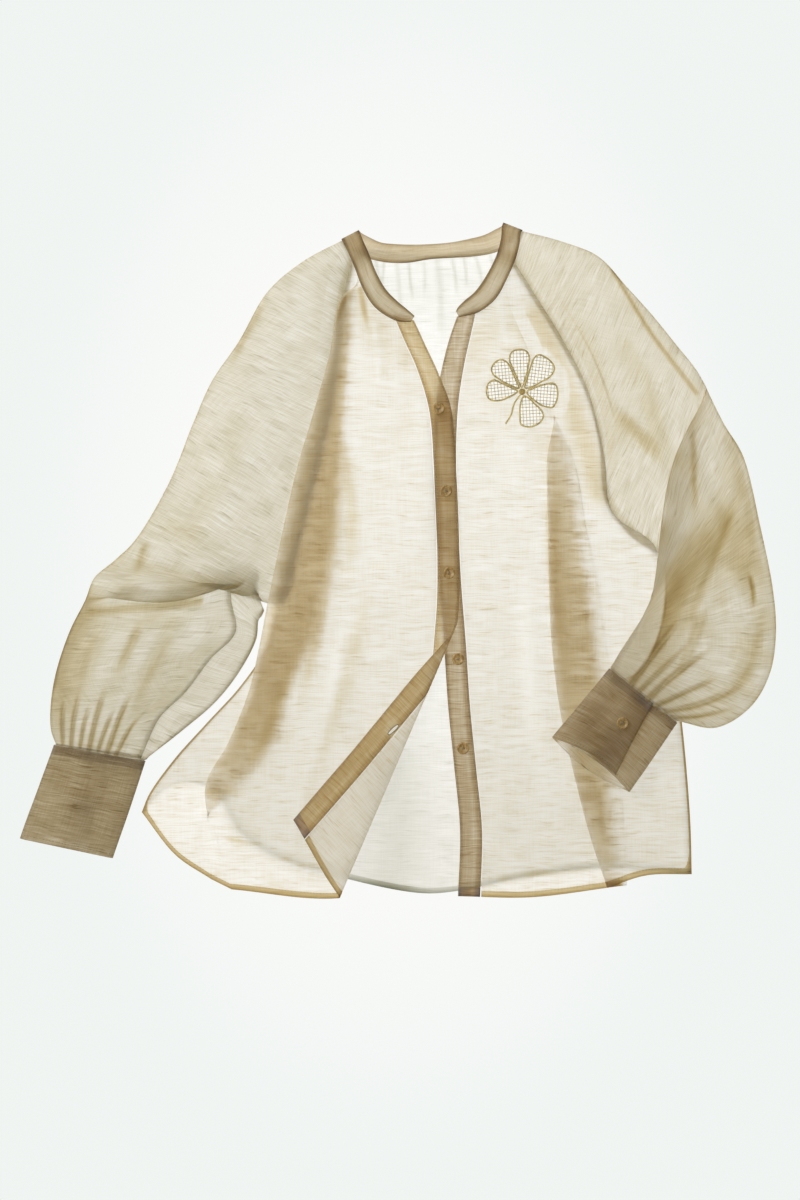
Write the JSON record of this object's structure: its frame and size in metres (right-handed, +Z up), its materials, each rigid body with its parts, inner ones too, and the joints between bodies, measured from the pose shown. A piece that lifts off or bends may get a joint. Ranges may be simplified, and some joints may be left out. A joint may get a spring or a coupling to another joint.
{
  "type": "eyelet blouse",
  "caption": "Sheer long-sleeved raglan blouse laid out flat, with balloon sleeves, deep cuffs, a button front, a turned-back corner and an openwork flower on the chest.",
  "frame": {"origin": "middle of the underside of the whole garment, on the surface that it lies on", "axes": "+Z up off the surface, +Y from the hem towards the neck, +X towards the wearer's left sleeve"},
  "size_m": [0.755, 0.6746, 0.0385],
  "materials": {
    "linen_back": "sheer slubbed linen blend, matt",
    "linen_front_right": "sheer slubbed linen blend, matt",
    "linen_front_left": "sheer slubbed linen blend, matt",
    "linen_sleeve_right": "sheer slubbed linen blend, matt",
    "linen_sleeve_left": "sheer slubbed linen blend, matt",
    "linen_neckband": "doubled slubbed linen blend, matt",
    "linen_placket_right": "doubled slubbed linen blend, matt",
    "linen_placket_left": "doubled slubbed linen blend, matt",
    "linen_cuff_right": "doubled slubbed linen blend, matt",
    "linen_cuff_left": "doubled slubbed linen blend, matt",
    "flower_thread": "corded cotton thread",
    "button_shell": "satin mottled amber brown"
  },
  "bodies": {
    "root": {"back": "linen_back", "front_right": "linen_front_right", "front_left": "linen_front_left", "sleeve_right": "linen_sleeve_right", "sleeve_left": "linen_sleeve_left", "neckband": "linen_neckband", "placket_right": "linen_placket_right", "placket_left": "linen_placket_left", "cuff_right": "linen_cuff_right", "cuff_left": "linen_cuff_left", "flower": "flower_thread", "button_1": "button_shell", "button_2": "button_shell", "button_3": "button_shell", "button_4": "button_shell", "button_5": "button_shell", "button_cuff_left": "button_shell", "button_cuff_right": "button_shell"}
  },
  "joints": []
}
